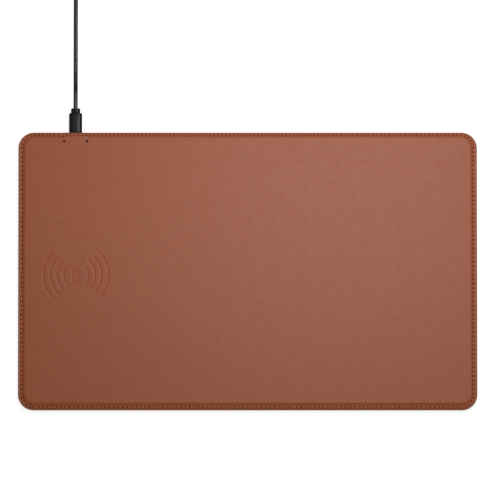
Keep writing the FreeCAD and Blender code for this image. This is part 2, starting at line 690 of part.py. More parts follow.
def make_cable_tie():
    """Flat tie round the coil's turns, at the side nearest the pad."""
    x_low = BUNDLE_X - TIE_HALF_WIDTH
    x_high = BUNDLE_X + TIE_HALF_WIDTH
    front = BUNDLE_Y - BUNDLE_OUTER - TIE_GAP
    back = BUNDLE_Y - BUNDLE_INNER + TIE_INNER_GAP
    top = COIL_LIFT + BUNDLE_HEIGHT + TIE_GAP
    inside = box(x_low, x_high, front, back, COIL_LIFT, top)
    outside = rounded_block(x_low, x_high, front - TIE_THICK, back + TIE_THICK,
                            0.0, top + TIE_THICK, TIE_ROUND, Vector(1, 0, 0))
    save("cable_tie", [outside.cut(inside)])


def far_block(x_low, x_high, width, height, radius):
    """Block on the far plug's centre line, rounded along its length."""
    return rounded_block(x_low, x_high, FAR_Y - width / 2, FAR_Y + width / 2,
                         FAR_Z - height / 2, FAR_Z + height / 2, radius, Vector(1, 0, 0))


def make_far_plug():
    grip_x = FAR_X + FAR_RELIEF_LENGTH
    sleeve_x = grip_x + FAR_GRIP_LENGTH
    tip_x = sleeve_x + FAR_SLEEVE_LENGTH
    root_x = sleeve_x - FAR_SLEEVE_ROOT
    relief = Part.makeCone(*FAR_RELIEF_RADII, FAR_RELIEF_LENGTH, Vector(FAR_X, FAR_Y, FAR_Z),
                           Vector(1, 0, 0))
    save("usb_a_strain_relief", [relief])
    inner_half = FAR_SLEEVE_WIDTH / 2 - FAR_SLEEVE_WALL
    inner_low = FAR_Z - FAR_SLEEVE_HEIGHT / 2 + FAR_SLEEVE_WALL
    inner_high = FAR_Z + FAR_SLEEVE_HEIGHT / 2 - FAR_SLEEVE_WALL
    shell = far_block(root_x, tip_x, FAR_SLEEVE_WIDTH, FAR_SLEEVE_HEIGHT, FAR_SLEEVE_ROUND)
    hollow = box(root_x, tip_x, FAR_Y - inner_half, FAR_Y + inner_half, inner_low, inner_high)
    save("usb_a_sleeve", [shell.cut(hollow)])
    grip = far_block(grip_x, sleeve_x, FAR_GRIP_WIDTH, FAR_GRIP_HEIGHT, FAR_GRIP_ROUND)
    save("usb_a_grip", [grip.cut(shell.fuse(hollow))])
    insert_high = inner_low + FAR_INSERT_HEIGHT
    insert = box(root_x, tip_x - FAR_INSERT_BACK, FAR_Y - inner_half, FAR_Y + inner_half,
                 inner_low, insert_high)
    save("usb_a_insert", [insert])
    length, width, thick = FAR_CONTACT_SIZE
    end_x = tip_x - FAR_CONTACT_BACK
    contacts = []
    for index in range(FAR_CONTACTS):
        y = FAR_Y + (index - (FAR_CONTACTS - 1) / 2) * FAR_CONTACT_PITCH
        contacts.append(box(end_x - length, end_x, y - width / 2, y + width / 2,
                            insert_high, insert_high + thick))
    save("usb_a_contacts", contacts)


def main():
    os.makedirs("parts", exist_ok=True)
    make_top_cover()
    make_stitching()
    make_base_sheet()
    make_core_board()
    make_foam_layer()
    make_module_tray()
    make_module_lid()
    make_port_bezel()
    make_main_board()
    make_circuit()
    make_light_pipes()
    make_socket()
    make_transmitter()
    make_wiring()
    make_near_plug()
    make_cable()
    make_cable_tie()
    make_far_plug()


main()
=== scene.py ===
import json
import math
import random

import bmesh
import bpy
import numpy as np
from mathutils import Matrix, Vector


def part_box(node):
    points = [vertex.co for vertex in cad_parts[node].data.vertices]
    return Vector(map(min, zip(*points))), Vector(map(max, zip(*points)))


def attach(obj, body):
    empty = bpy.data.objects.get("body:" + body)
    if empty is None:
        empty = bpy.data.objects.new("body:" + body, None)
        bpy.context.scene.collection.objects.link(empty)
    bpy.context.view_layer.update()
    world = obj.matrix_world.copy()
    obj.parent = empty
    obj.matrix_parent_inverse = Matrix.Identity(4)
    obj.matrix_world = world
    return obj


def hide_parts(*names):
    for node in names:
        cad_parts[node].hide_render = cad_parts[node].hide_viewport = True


# Looks of the desk pad with a built-in wireless charger. Lengths named here are in millimetres, as
# on the drawing, and MM turns them into Blender's metres.

MM = 0.001
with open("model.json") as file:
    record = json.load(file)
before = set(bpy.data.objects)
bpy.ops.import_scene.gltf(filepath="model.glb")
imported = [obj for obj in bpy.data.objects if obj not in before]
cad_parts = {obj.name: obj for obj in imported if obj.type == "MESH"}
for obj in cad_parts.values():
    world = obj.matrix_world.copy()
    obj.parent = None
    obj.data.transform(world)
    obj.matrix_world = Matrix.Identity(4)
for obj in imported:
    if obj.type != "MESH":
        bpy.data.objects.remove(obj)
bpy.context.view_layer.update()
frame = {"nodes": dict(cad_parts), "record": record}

# -------- sizes read from the frame
def node_box(name):
    """A CAD node's low and high corners, in millimetres."""
    return [Vector(corner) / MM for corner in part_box(name)]


cover_low, cover_high = node_box("top_cover")
grip_low, grip_high = node_box("plug_grip")
collar_low, collar_high = node_box("plug_collar")
light_low, light_high = node_box("light_pipes")
coil_low, coil_high = node_box("lead_coil")
bezel_low, bezel_high = node_box("port_bezel")
base_high = node_box("base_sheet")[1]
far_low, far_high = node_box("usb_a_grip")
relief_low, relief_high = node_box("usb_a_strain_relief")
tie_low, tie_high = node_box("cable_tie")

HALF_X = cover_high.x
HALF_Y = cover_high.y
BASE_TOP = cover_low.z
PANEL_Z = cover_high.z
PORT_X = (bezel_low.x + bezel_high.x) / 2
PORT_Z = (grip_low.z + grip_high.z) / 2
LIGHT_Y = (light_low.y + light_high.y) / 2
LIGHT_X = (light_low.x + 0.9, light_high.x - 0.9)

# -------- the cover's profile
CORNER = 12.0
HEM_Z = 5.62
BULGE_Z = 6.1
HEM_ROUND = 0.95
CEILING_Z = 5.3
CORE_Z = 4.5
STEP_WIDTH = 2.3
BULGE_FLAT = 6.6
BULGE_SPREAD = 4.2
BAND_END = CORNER
PANEL_GRID_GAP = 0.6

# Distances in from the outline: front, right, back and left.
HEM_LEVELS = (5.62, 5.95, 6.0, 5.75)
SEAM_INSETS = (1.75, 2.8, 2.2, 2.5)
STEP_INSETS = (3.7, 3.6, 3.8, 3.7)
STITCH_PITCHES = (3.40, 3.40, 3.05, 3.60)
CORNER_STITCHES = 5
STITCH_SAMPLES = (0.0, 0.1, 0.22, 0.5, 0.78, 0.9)
HOLE_LENGTH = 0.68
HOLE_WIDTH = 0.5
HOLE_DEPTH = 0.95
SEAM_DENT = 0.3
SEAM_DENT_WIDTH = 0.75
SEAM_PULL = 0.2
SEAM_SWING = 0.35
SEAM_KINK = 0.45
KINK_OFFSET = 2.6
KINK_WIDTH = 1.9
PLY_RADIUS = 0.2
PLY_OFFSET = 0.19
PLY_TWIST = 1.2
RUN_SHARE = 0.93
RUN_SKEW = 0.1
THREAD_RISE = 0.12
THREAD_SINK = 0.85

# -------- the embossed mark
MARK_X = -131.1
MARK_Y = -3.3
MARK_TURN = math.radians(3.0)
MARK_DEPTH = 0.13
ARC_RADII = (9.5, 14.6, 19.65, 24.9)
ARC_HALF_LINE = 0.65
ARC_HALF_ANGLE = math.radians(45.0)
BATTERY_HALF = (2.95, 4.95)
BATTERY_LINE = 0.9
CAP_HALF = (0.95, 0.7)
BAR_HALF = (1.2, 0.28)
BAR_HEIGHTS = (-2.3, -0.7, 0.9, 2.5)
MARK_SPAN = (27.5, 21.0)
FINE_STEP = 0.42
COARSE_STEP = 4.0
STEP_GROWTH = 1.35

# -------- cover openings, windows and base
LIGHT_HOLE_RADIUS = 1.0
PORT_SLOT_DEPTH = 8.0
LENS_RINGS = ((1.0, 0.0), (0.8, 0.05), (0.5, 0.14), (0.2, 0.2))
LENS_FOOT_RADIUS = 0.55
LENS_SHARE = 0.8
BASE_INNER = 8.0
BASE_CHANNEL = ((-0.6, 0.0), (-0.3, 0.16), (0.0, 0.24), (0.3, 0.16), (0.6, 0.0))

# -------- the lead
CABLE_DIAMETER = 3.3
CABLE_RADIUS = CABLE_DIAMETER / 2
CABLE_REST = CABLE_RADIUS + 0.01
COLLAR_BACK_Y = collar_high.y
GRIP_FLAT = 0.08
COLLAR_FLAT = 0.08
GRIP_SKIN = 0.12
FRONT_GROOVE = 0.3
FRONT_GAP = 0.06
TURN_POINTS = 16
TURNS_PER_LAYER = 3.5
LAST_TURN = 7.25
COIL_LIFT = coil_low.z
COIL_X = (coil_low.x + coil_high.x) / 2
COIL_Y = (coil_low.y + coil_high.y) / 2
EXIT_RADIUS = (coil_high.x - coil_low.x) / 2 - CABLE_RADIUS
ENTRY_RADIUS = EXIT_RADIUS - 0.25 * CABLE_DIAMETER
INNER_RADIUS = ENTRY_RADIUS - TURNS_PER_LAYER * CABLE_DIAMETER
FAR_X = COIL_X + 24.0
FAR_Y = COIL_Y + EXIT_RADIUS
FAR_Z = 4.0

# Latch windows: half the spacing, half the width, and start and end back from the sleeve's tip
FAR_WINDOWS = (2.9, 1.1, 7.6, 5.3)
NEAR_LATCHES = (1.7, 0.35, 1.6, 2.9)
LATCH_SINK = 0.25

# USB-A grip, as shares of its length where no unit fits: waist, neck and finger ridges
FAR_GRIP_FLAT = 0.45
WAIST = (0.9, 0.42, 0.2)
NECK = (1.2, 0.25)
RIDGES = (0.16, 0.26, 0.6, 6)
RELIEF_GROOVES = (0.38, 0.12, 0.88, 5)
RELIEF_LIP = 0.45

# Strap round the coil
STRAP_THICK = 0.42
STRAP_CORNER = 0.9
STRAP_WEAVE = 0.035
STRAP_LAP = 0.12

# -------- studio, in metres and watts
KEY_PLACE = (0.090, 0.192, 0.644)
KEY_SIZE = 0.25
KEY_POWER = 5.2
SKY_STRENGTH = 0.06
FLOOR_GLOW = 0.9


def smooth(value):
    """Soft step from 0 to 1 as value goes from 0 to 1."""
    value = np.clip(value, 0.0, 1.0)
    return value * value * (3 - 2 * value)


# -------- mesh helpers
def new_object(name, vertices, faces, material=None, shade_smooth=True):
    """Mesh object from points in millimetres."""
    mesh = bpy.data.meshes.new(name)
    points = np.asarray(vertices, float) * MM
    mesh.from_pydata(points.tolist(), [], [tuple(face) for face in faces])
    mesh.validate()
    mesh.update()
    made = bpy.data.objects.new(name, mesh)
    bpy.context.scene.collection.objects.link(made)
    if shade_smooth:
        mesh.shade_smooth()
    if material:
        mesh.materials.append(material)
    return made


def ring_faces(rows, columns, start=0):
    """Quads between rows of closed rings, numbered row by row."""
    faces = []
    for row in range(rows - 1):
        for column in range(columns):
            after = (column + 1) % columns
            a = start + row * columns + column
            b = start + row * columns + after
            faces.append((a, b, b + columns, a + columns))
    return faces


def tube_faces(rows, columns, start=0):
    """Quads between the rows and a cap at each end."""
    end = start + (rows - 1) * columns
    caps = [tuple(range(start, start + columns)), tuple(reversed(range(end, end + columns)))]
    return ring_faces(rows, columns, start) + caps


def finished(name, points, faces, material, sharp, join=1e-7):
    """Mesh object with its points joined and its edges sharp above an angle in degrees."""
    made = new_object(name, points, faces, material)
    tidy_mesh(made, join)
    made.data.set_sharp_from_angle(angle=math.radians(sharp))
    return made


def zipper(outer, inner, points):
    """Triangles between two closed loops of point numbers that run the same way."""
    outer_at = [0.0]
    inner_at = [0.0]
    for loop, at in ((outer, outer_at), (inner, inner_at)):
        closed = list(loop) + [loop[0]]
        for first, second in zip(closed, closed[1:]):
            at.append(at[-1] + float(np.linalg.norm(points[second] - points[first])))
        total = at[-1]
        at[:] = [value / total for value in at]
    faces = []
    i = 0
    j = 0
    while i < len(outer) or j < len(inner):
        a = outer[i % len(outer)]
        b = inner[j % len(inner)]
        if j >= len(inner) or (i < len(outer) and outer_at[i + 1] <= inner_at[j + 1]):
            faces.append((a, outer[(i + 1) % len(outer)], b))
            i += 1
        else:
            faces.append((a, inner[(j + 1) % len(inner)], b))
            j += 1
    return faces


# -------- the hem's path
def hem_columns():
    """Points along the outline, several to a stitch, starting at the front's left end.

    Each is (x, y, inward x, inward y, side share, stitch number, place in the stitch), where side
    share runs 0 front, 1 right, 2 back, 3 left and is between two sides in a corner.
    """
    straight_x = HALF_X - CORNER
    straight_y = HALF_Y - CORNER
    sides = (
        ((-straight_x, -HALF_Y), (1, 0), 2 * straight_x),
        ((HALF_X, -straight_y), (0, 1), 2 * straight_y),
        ((straight_x, HALF_Y), (-1, 0), 2 * straight_x),
        ((-HALF_X, straight_y), (0, -1), 2 * straight_y),
    )
    columns = []
    stitch = 0
    for side, (start, along, length) in enumerate(sides):
        inward = (-along[1], along[0])
        stitches = round(length / STITCH_PITCHES[side])
        for index in range(stitches):
            for share in STITCH_SAMPLES:
                walk = (index + share) / stitches * length
                columns.append((start[0] + along[0] * walk, start[1] + along[1] * walk,
                                inward[0], inward[1], side, stitch, share))
            stitch += 1
        centre = (start[0] + along[0] * length + inward[0] * CORNER,
                  start[1] + along[1] * length + inward[1] * CORNER)
        for index in range(CORNER_STITCHES):
            for share in STITCH_SAMPLES:
                turn = (index + share) / CORNER_STITCHES
                angle = math.atan2(-inward[1], -inward[0]) + turn * math.pi / 2
                columns.append((centre[0] + math.cos(angle) * CORNER,
                                centre[1] + math.sin(angle) * CORNER,
                                -math.cos(angle), -math.sin(angle), side + turn, stitch, share))
            stitch += 1
    return np.array(columns)


def inset_row(columns, inset, height):
    """Points at a distance in from the outline, one to each column."""
    x, y, inward_x, inward_y = columns[:, :4].T
    level = np.zeros(len(x)) + height
    return np.column_stack([x + inward_x * inset, y + inward_y * inset, level])


def by_side(values, share):
    """A value given for each side, eased from one to the next round the corners."""
    ring = np.array(list(values) + [values[0]])
    low = np.floor(share).astype(int)
    return ring[low] + (ring[np.minimum(low + 1, 4)] - ring[low]) * smooth(share - low)


def bulge_share(x, y):
    """How far the hem is raised over the port, from 0 to 1."""
    across = 1 - smooth((np.abs(x - PORT_X) - BULGE_FLAT) / BULGE_SPREAD)
    return across * (y > 0)


def seam_inset(x, y, share):
    """The seam's distance from the outline. Over the port it swings towards the edge."""
    bump = bulge_share(x, y)
    from_kink = (x - PORT_X + BULGE_FLAT + KINK_OFFSET) / KINK_WIDTH
    kink = SEAM_KINK * np.exp(-from_kink ** 2) * (y > 0)
    return by_side(SEAM_INSETS, share) - SEAM_SWING * bump + kink


def hem_level(x, y, share):
    """Height of the hem outside the step."""
    level = by_side(HEM_LEVELS, share)
    return level + (BULGE_Z - level) * bulge_share(x, y)


def hem_height(x, y, share, inset, hole_gap):
    """Height of the cover's top near the edge. hole_gap is the distance along the seam to a hole."""
    step = by_side(STEP_INSETS, share)
    hem = hem_level(x, y, share)
    rise = smooth((inset - step + STEP_WIDTH / 2 - 0.5) / STEP_WIDTH)
    height = hem + (PANEL_Z - hem) * rise
    from_seam = inset - seam_inset(x, y, share)
    height -= SEAM_DENT * np.exp(-(from_seam / SEAM_DENT_WIDTH) ** 2)
    pulled = np.exp(-(hole_gap / 0.9) ** 2)
    height -= SEAM_PULL * pulled * np.exp(-(from_seam / 0.95) ** 2)
    return height - HOLE_DEPTH * hole_share(from_seam, hole_gap)


def hole_share(from_seam, hole_gap):
    """1 inside a needle hole, falling to 0 at its rim."""
    return np.exp(-np.hypot(from_seam / HOLE_WIDTH, hole_gap / HOLE_LENGTH) ** 4)


# -------- the embossed mark
def box_distance(x, y, half_x, half_y):
    """Signed distance from a rectangle's edge, negative inside."""
    qx = np.abs(x) - half_x
    qy = np.abs(y) - half_y
    return np.hypot(np.maximum(qx, 0), np.maximum(qy, 0)) + np.minimum(np.maximum(qx, qy), 0)


def mark_distance(x, y):
    """Distance from the nearest groove's edge, negative inside a groove."""
    dx = x - MARK_X
    dy = y - MARK_Y
    local_x = dx * math.cos(MARK_TURN) + dy * math.sin(MARK_TURN)
    local_y = dy * math.cos(MARK_TURN) - dx * math.sin(MARK_TURN)
    from_centre = np.hypot(local_x, local_y)
    angle = np.arctan2(np.abs(local_y), np.abs(local_x))
    nearest = np.full(np.shape(x), 99.0)
    for radius in ARC_RADII:
        end_x = radius * math.cos(ARC_HALF_ANGLE)
        end_y = radius * math.sin(ARC_HALF_ANGLE)
        to_end = np.hypot(np.abs(local_x) - end_x, np.abs(local_y) - end_y)
        to_arc = np.where(angle <= ARC_HALF_ANGLE, np.abs(from_centre - radius), to_end)
        nearest = np.minimum(nearest, to_arc - ARC_HALF_LINE)
    half_line = BATTERY_LINE / 2
    shell = box_distance(local_x, local_y, BATTERY_HALF[0] - half_line, BATTERY_HALF[1] - half_line)
    nearest = np.minimum(nearest, np.abs(shell) - half_line)
    cap_y = local_y - BATTERY_HALF[1] - CAP_HALF[1]
    nearest = np.minimum(nearest, box_distance(local_x, cap_y, *CAP_HALF))
    for height in BAR_HEIGHTS:
        nearest = np.minimum(nearest, box_distance(local_x, local_y - height, *BAR_HALF))
    return nearest


def mark_profile(x, y):
    """(height change, how hard the leather is pressed) for the mark."""
    distance = mark_distance(x, y)
    pressed = 1 - smooth((distance + 0.5) / 1.0)
    lip = 0.01 * np.exp(-((distance - 0.6) / 0.3) ** 2)
    return lip - MARK_DEPTH * pressed, pressed


def ripple(x, y):
    """Slight unevenness of leather glued over foam, a few hundredths of a millimetre."""
    waves = np.sin(x / 9.1 + 1.3 * np.sin(y / 23.0)) * np.sin(y / 11.7 + 0.8 * np.sin(x / 31.0))
    swell = np.sin(x / 27.0 + 0.6) * np.cos(y / 21.0 - 0.4)
    return 0.008 * waves + 0.03 * swell


def steps_between(low, high, fine_low, fine_high):
    """Values from low to high, close together between fine_low and fine_high."""
    values = [fine_low]
    while values[-1] < fine_high:
        values.append(values[-1] + FINE_STEP)
    step = FINE_STEP
    while values[-1] + step < high - 0.5:
        values.append(values[-1] + step)
        step = min(step * STEP_GROWTH, COARSE_STEP)
    values.append(high)
    step = FINE_STEP
    while values[0] - step > low + 0.5:
        values.insert(0, values[0] - step)
        step = min(step * STEP_GROWTH, COARSE_STEP)
    values.insert(0, low)
    return np.array(values)


# -------- the cover
def section_rows():
    """The cover's section from the ceiling's edge round the outside to the seam, and the insets
    of the rows on top. Each section row is (inset, height, share of the port's raise)."""
    under = [(5.9, CEILING_Z, 0.0), (CORNER * 0.41, CORE_Z, 0.0), (CORNER * 0.41, BASE_TOP, 0.0),
             (0.35, BASE_TOP, 0.0), (0.08, BASE_TOP + 0.1, 0.0), (0.0, BASE_TOP + 0.35, 0.0)]
    wall_top = HEM_Z - HEM_ROUND
    wall = [(0.0, BASE_TOP + 1.2, 0.35), (0.0, wall_top, 1.0)]
    arc = []
    for step in range(1, 6):
        angle = step * math.pi / 10
        arc.append((HEM_ROUND * (1 - math.cos(angle)), wall_top + HEM_ROUND * math.sin(angle), 1.0))
    top = list(np.arange(HEM_ROUND + 0.2, 3.7, 0.23)) + list(np.arange(3.9, 6.4, 0.25))
    top += [7.0, 8.0, 10.0, BAND_END]
    return under + wall + arc, top


def make_cover(material):
    """Leather cover: panel, step, hem, wrapped edge, holes for the thread, and the embossed mark."""
    columns = hem_columns()
    x, y = columns[:, :2].T
    share = columns[:, 4]
    place = columns[:, 6]
    count = len(columns)
    stitch_starts = np.flatnonzero(place == 0)
    stitch_length = np.zeros(count)
    for index, first in enumerate(stitch_starts):
        last = stitch_starts[(index + 1) % len(stitch_starts)]
        length = math.hypot(x[last] - x[first], y[last] - y[first])
        stitch_length[first:first + len(STITCH_SAMPLES)] = length
    hole_gap = np.minimum(place, 1 - place) * stitch_length
    section, top_insets = section_rows()
    points = []
    hole_shade_rows = []
    for inset, height, raise_share in section:
        lift = (hem_level(x, y, share) - HEM_Z) * raise_share
        points.append(inset_row(columns, inset, height + lift))
        hole_shade_rows.append(np.zeros(count))
    for inset in top_insets:
        height = hem_height(x, y, share, inset, hole_gap)
        points.append(inset_row(columns, inset, height))
        # Painted shade: this mask darkens the leather's colour in and around each needle hole, where shade
        # falls.
        hole_shade_rows.append(hole_share((inset - seam_inset(x, y, share)) * 0.8, hole_gap * 0.8))
    rows = len(section) + len(top_insets)
    faces = ring_faces(rows, count)
    vertices = np.concatenate(points)
    holes = np.concatenate(hole_shade_rows)

    # Ceiling under the panel: a fan round one point.
    centre = len(vertices)
    vertices = np.vstack([vertices, [[0, 0, CEILING_Z]]])
    holes = np.append(holes, 0.0)
    for column in range(count):
        faces.append(((column + 1) % count, column, centre))

    # Flat of the panel: a grid that is fine over the mark.
    edge_x = HALF_X - BAND_END - PANEL_GRID_GAP
    edge_y = HALF_Y - BAND_END - PANEL_GRID_GAP
    grid_x = steps_between(-edge_x, edge_x, MARK_X - MARK_SPAN[0], MARK_X + MARK_SPAN[0])
    grid_y = steps_between(-edge_y, edge_y, MARK_Y - MARK_SPAN[1], MARK_Y + MARK_SPAN[1])
    mesh_x, mesh_y = np.meshgrid(grid_x, grid_y)
    change, mark_pressed = mark_profile(mesh_x, mesh_y)
    edge = np.minimum(edge_x - np.abs(mesh_x), edge_y - np.abs(mesh_y))
    change = change + ripple(mesh_x, mesh_y) * smooth(edge / 12.0)
    start = len(vertices)
    nx = len(grid_x)
    ny = len(grid_y)
    panel = np.column_stack([mesh_x.ravel(), mesh_y.ravel(), (PANEL_Z + change).ravel()])
    vertices = np.vstack([vertices, panel])
    embossed = np.concatenate([np.zeros(start), mark_pressed.ravel()])
    holes = np.append(holes, np.zeros(nx * ny))
    for row in range(ny - 1):
        for column in range(nx - 1):
            a = start + row * nx + column
            faces.append((a, a + 1, a + 1 + nx, a + nx))
    loop = [start + column for column in range(nx)]
    loop += [start + row * nx + nx - 1 for row in range(1, ny)]
    loop += [start + (ny - 1) * nx + column for column in range(nx - 2, -1, -1)]
    loop += [start + row * nx for row in range(ny - 2, 0, -1)]
    outer = [(rows - 1) * count + column for column in range(count)]
    faces += zipper(outer, loop, vertices)

    cover = new_object("leather_cover", vertices, faces)
    # The hole attribute carries the painted shade of the needle holes.
    for layer_name, values in (("pressed", embossed), ("hole", holes)):
        layer = cover.data.attributes.new(layer_name, "FLOAT", "POINT")
        layer.data.foreach_set("value", values.astype(np.float32))
    tidy_mesh(cover, 0.00002)
    cut_holes(cover)
    cover.data.shade_smooth()
    cover.data.set_sharp_from_angle(angle=math.radians(50))
    cover.data.materials.append(material)
    return cover


def tidy_mesh(made, distance):
    """Joins points that coincide and turns every face outwards."""
    work = bmesh.new()
    work.from_mesh(made.data)
    bmesh.ops.remove_doubles(work, verts=work.verts, dist=distance)
    bmesh.ops.dissolve_degenerate(work, edges=work.edges, dist=1e-7)
    bmesh.ops.recalc_face_normals(work, faces=work.faces)
    work.to_mesh(made.data)
    work.free()


def cut_holes(cover):
    """Cuts the two light holes and the port's opening."""
    work = bmesh.new()
    for x in LIGHT_X:
        made = bmesh.ops.create_cone(work, cap_ends=True, segments=40,
                                     radius1=LIGHT_HOLE_RADIUS * MM,
                                     radius2=LIGHT_HOLE_RADIUS * MM, depth=4 * MM)
        bmesh.ops.translate(work, verts=made["verts"],
                            vec=Vector((x, LIGHT_Y, PANEL_Z - 0.5)) * MM)
    made = bmesh.ops.create_cube(work, size=1.0)
    size = Vector((bezel_high.x - bezel_low.x + 0.2, PORT_SLOT_DEPTH,
                   bezel_high.z - BASE_TOP + 1.0)) * MM
    bmesh.ops.scale(work, verts=made["verts"], vec=size)
    middle = Vector((PORT_X, HALF_Y - 2.0, (bezel_high.z + BASE_TOP) / 2 - 0.5)) * MM
    bmesh.ops.translate(work, verts=made["verts"], vec=middle)
    apply_cut(cover, work)


def apply_cut(made, work):
    """Takes the shapes in work away from a mesh."""
    mesh = bpy.data.meshes.new("cutter")
    work.to_mesh(mesh)
    work.free()
    cutter = bpy.data.objects.new("cutter", mesh)
    bpy.context.scene.collection.objects.link(cutter)
    cut = made.modifiers.new("cut", "BOOLEAN")
    cut.operation = "DIFFERENCE"
    cut.solver = "EXACT"
    cut.object = cutter
    bpy.context.view_layer.objects.active = made
    bpy.ops.object.modifier_apply(modifier="cut")
    bpy.data.objects.remove(cutter)


# -------- materials
def nodes_of(name):
    material = bpy.data.materials.new(name)
    material.use_nodes = True
    tree = material.node_tree
    shader = tree.nodes["Principled BSDF"]
    place = tree.nodes.new("ShaderNodeTexCoord")
    return material, tree, shader, place.outputs["Object"]


def add(tree, kind, inputs=None, **settings):
    """Adds a node. inputs maps a socket's name or number to a value or another node's output."""
    node = tree.nodes.new(kind)
    for key, value in settings.items():
        setattr(node, key, value)
    for key, value in (inputs or {}).items():
        if isinstance(value, bpy.types.NodeSocket):
            tree.links.new(value, node.inputs[key])
        else:
            node.inputs[key].default_value = value
    return node


def set_inputs(shader, values):
    for name, value in values.items():
        shader.inputs[name].default_value = value


def noise(tree, place, scale, detail=3.0, rough=0.5):
    return add(tree, "ShaderNodeTexNoise",
               {"Vector": place, "Scale": scale, "Detail": detail, "Roughness": rough}).outputs["Fac"]


def spread(tree, value, low, high):
    """Maps 0.3..0.7, where most of a noise lies, to low..high."""
    return add(tree, "ShaderNodeMapRange",
               {"Value": value, "From Min": 0.3, "From Max": 0.7,
                "To Min": low, "To Max": high}).outputs[0]


def mix_colours(tree, share, first, second):
    node = add(tree, "ShaderNodeMix", data_type="RGBA")
    for socket, value in ((0, share), (6, first), (7, second)):
        if isinstance(value, bpy.types.NodeSocket):
            tree.links.new(value, node.inputs[socket])
        else:
            node.inputs[socket].default_value = value if socket == 0 else (*value, 1.0)
    return node.outputs[2]


def bump(tree, shader, height, strength, distance, under=None):
    inputs = {"Height": height, "Strength": strength, "Distance": distance}
    if under is not None:
        inputs["Normal"] = under
    node = add(tree, "ShaderNodeBump", inputs)
    tree.links.new(node.outputs[0], shader.inputs["Normal"])
    return node.outputs[0]


def leather():
    """Fine-grained coated leather look: pebbles under a millimetre, soft mottling, low sheen, and painted
    shade in the grain's valleys and the needle holes.
    """
    material, tree, shader, place = nodes_of("brown_leather")
    base = (0.240, 0.0575, 0.0185)
    darker = (0.236, 0.0562, 0.0179)
    mottle = spread(tree, noise(tree, place, 24.0, 4.0), 0.0, 1.0)
    speckle = spread(tree, noise(tree, place, 700.0, 3.0, 0.7), 0.0, 1.0)
    colour = mix_colours(tree, mottle, base, darker)
    colour = mix_colours(tree, speckle, colour, (0.279, 0.0755, 0.0290))
    cell = add(tree, "ShaderNodeTexVoronoi", {"Vector": place, "Scale": 1700.0, "Randomness": 0.95},
               feature="SMOOTH_F1")
    pebble = add(tree, "ShaderNodeMapRange",
                 {"Value": cell.outputs["Distance"], "From Min": 0.15, "From Max": 0.6,
                  "To Min": 0.0, "To Max": 1.0}).outputs[0]
    # Painted shade: the grain's valleys, sunk by the bump below, are darkened in colour.
    crease_shade_share = add(tree, "ShaderNodeMath", {0: pebble, 1: 0.16}, operation="MULTIPLY").outputs[0]
    colour = mix_colours(tree, crease_shade_share, colour, (0.14, 0.030, 0.008))
    pressed = add(tree, "ShaderNodeAttribute", attribute_name="pressed").outputs["Fac"]
    colour = mix_colours(tree, pressed, colour, (0.236, 0.0515, 0.0145))
    # Painted shade: the needle holes' mask turns the colour near black-brown.
    hole = add(tree, "ShaderNodeAttribute", attribute_name="hole").outputs["Fac"]
    colour = mix_colours(tree, hole, colour, (0.075, 0.013, 0.004))
    tree.links.new(colour, shader.inputs["Base Color"])
    tree.links.new(spread(tree, noise(tree, place, 160.0, 3.0), 0.455, 0.485), shader.inputs["Roughness"])
    shader.inputs["Specular IOR Level"].default_value = 0.18
    height = add(tree, "ShaderNodeMath", {0: pebble, 1: -1.0}, operation="MULTIPLY").outputs[0]
    first = bump(tree, shader, height, 0.35, 0.00007)
    bump(tree, shader, noise(tree, place, 2600.0, 2.0), 0.25, 0.00006, under=first)
    return material


def moulded(name, colour, rough=(0.38, 0.5), grain=1800.0, depth=0.00002, specular=0.5):
    """Moulded plastic or rubber with a fine spark-eroded texture."""
    material, tree, shader, place = nodes_of(name)
    lighter = tuple(min(1.0, channel * 1.35 + 0.004) for channel in colour)
    share = spread(tree, noise(tree, place, 60.0, 3.0), 0.0, 0.6)
    tree.links.new(mix_colours(tree, share, colour, lighter), shader.inputs["Base Color"])
    tree.links.new(spread(tree, noise(tree, place, 240.0, 2.0), *rough), shader.inputs["Roughness"])
    shader.inputs["Specular IOR Level"].default_value = specular
    bump(tree, shader, noise(tree, place, grain, 2.0), 0.3, depth)
    return material


def metal(name, colour, rough=(0.18, 0.32)):
    """Plated metal with faint drawing marks."""
    material, tree, shader, place = nodes_of(name)
    shader.inputs["Metallic"].default_value = 1.0
    stretch = add(tree, "ShaderNodeMapping", {"Vector": place, "Scale": (900.0, 60.0, 900.0)})
    marks = noise(tree, stretch.outputs[0], 1.0, 3.0)
    darker = tuple(channel * 0.82 for channel in colour)
    share = spread(tree, marks, 0.0, 0.5)
    tree.links.new(mix_colours(tree, share, colour, darker), shader.inputs["Base Color"])
    tree.links.new(spread(tree, marks, *rough), shader.inputs["Roughness"])
    bump(tree, shader, marks, 0.08, 0.00001)
    return material


def thread_material():
    """Sewing thread, a shade more orange than the leather, with fibres along it."""
    material, tree, shader, place = nodes_of("sewing_thread")
    fibres = noise(tree, place, 5200.0, 3.0)
    share = spread(tree, fibres, 0.0, 1.0)
    colour = mix_colours(tree, share, (0.50, 0.165, 0.070), (0.38, 0.11, 0.040))
    tree.links.new(colour, shader.inputs["Base Color"])
    set_inputs(shader, {"Roughness": 0.6, "Sheen Weight": 0.1})
    bump(tree, shader, fibres, 0.4, 0.00004)
    return material


